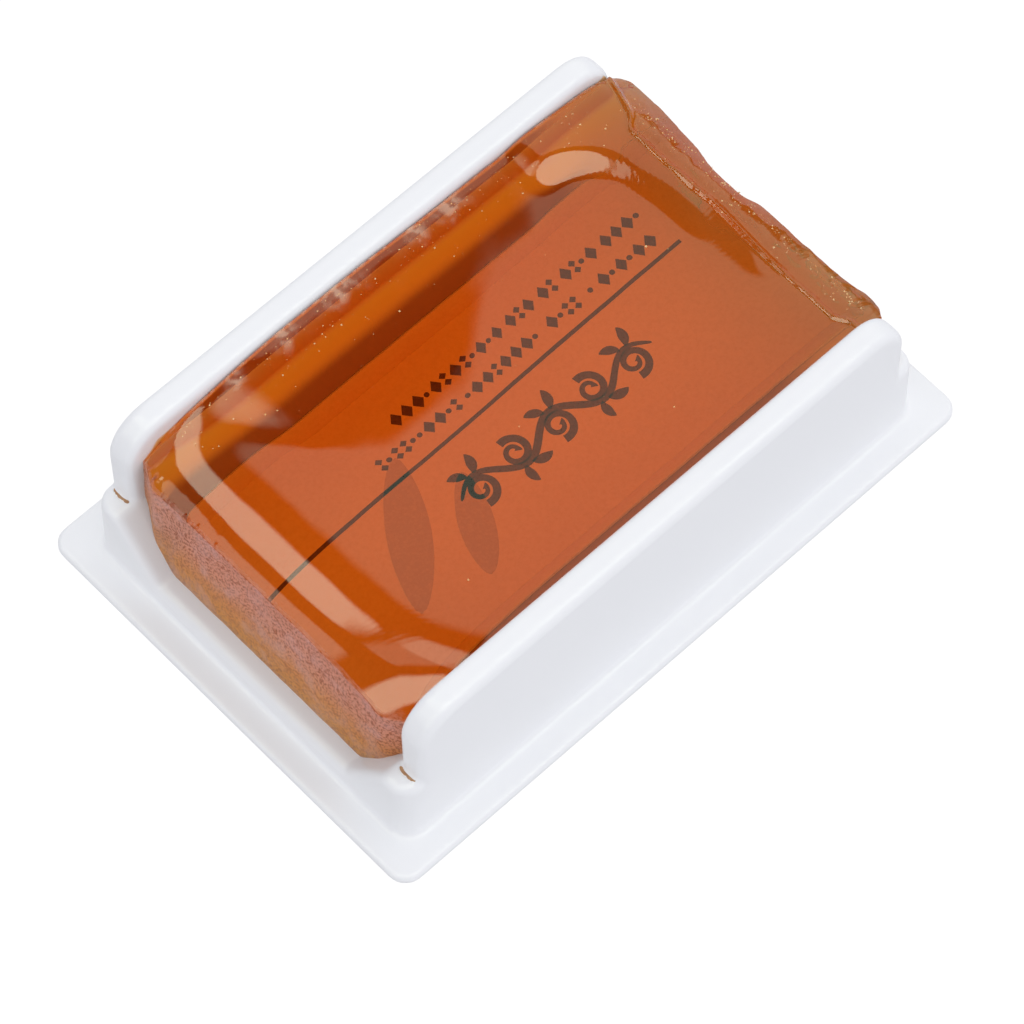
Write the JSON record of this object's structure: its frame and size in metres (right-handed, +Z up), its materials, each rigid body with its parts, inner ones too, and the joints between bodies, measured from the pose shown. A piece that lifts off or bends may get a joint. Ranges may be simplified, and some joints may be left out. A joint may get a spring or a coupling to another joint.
{
  "type": "rosin cake in holder",
  "caption": "Amber rosin cake cast into an open white plastic holder with low cheeks along its long sides, a raised plinth and a thin base flange.",
  "frame": {"origin": "centre of the flange's underside, on the surface the holder stands on", "axes": "+X along the cake's length, +Y across it, +Z up out of the open top"},
  "size_m": [0.07, 0.0474, 0.0195],
  "materials": {
    "white_plastic": "moulded, satin gloss",
    "printed_card": "matt printed card",
    "amber_rosin": "clear amber, glossy on top, frosted on the ends"
  },
  "bodies": {
    "root": {"holder": "white_plastic", "label_card": "printed_card", "rosin_block": "amber_rosin"}
  },
  "joints": []
}
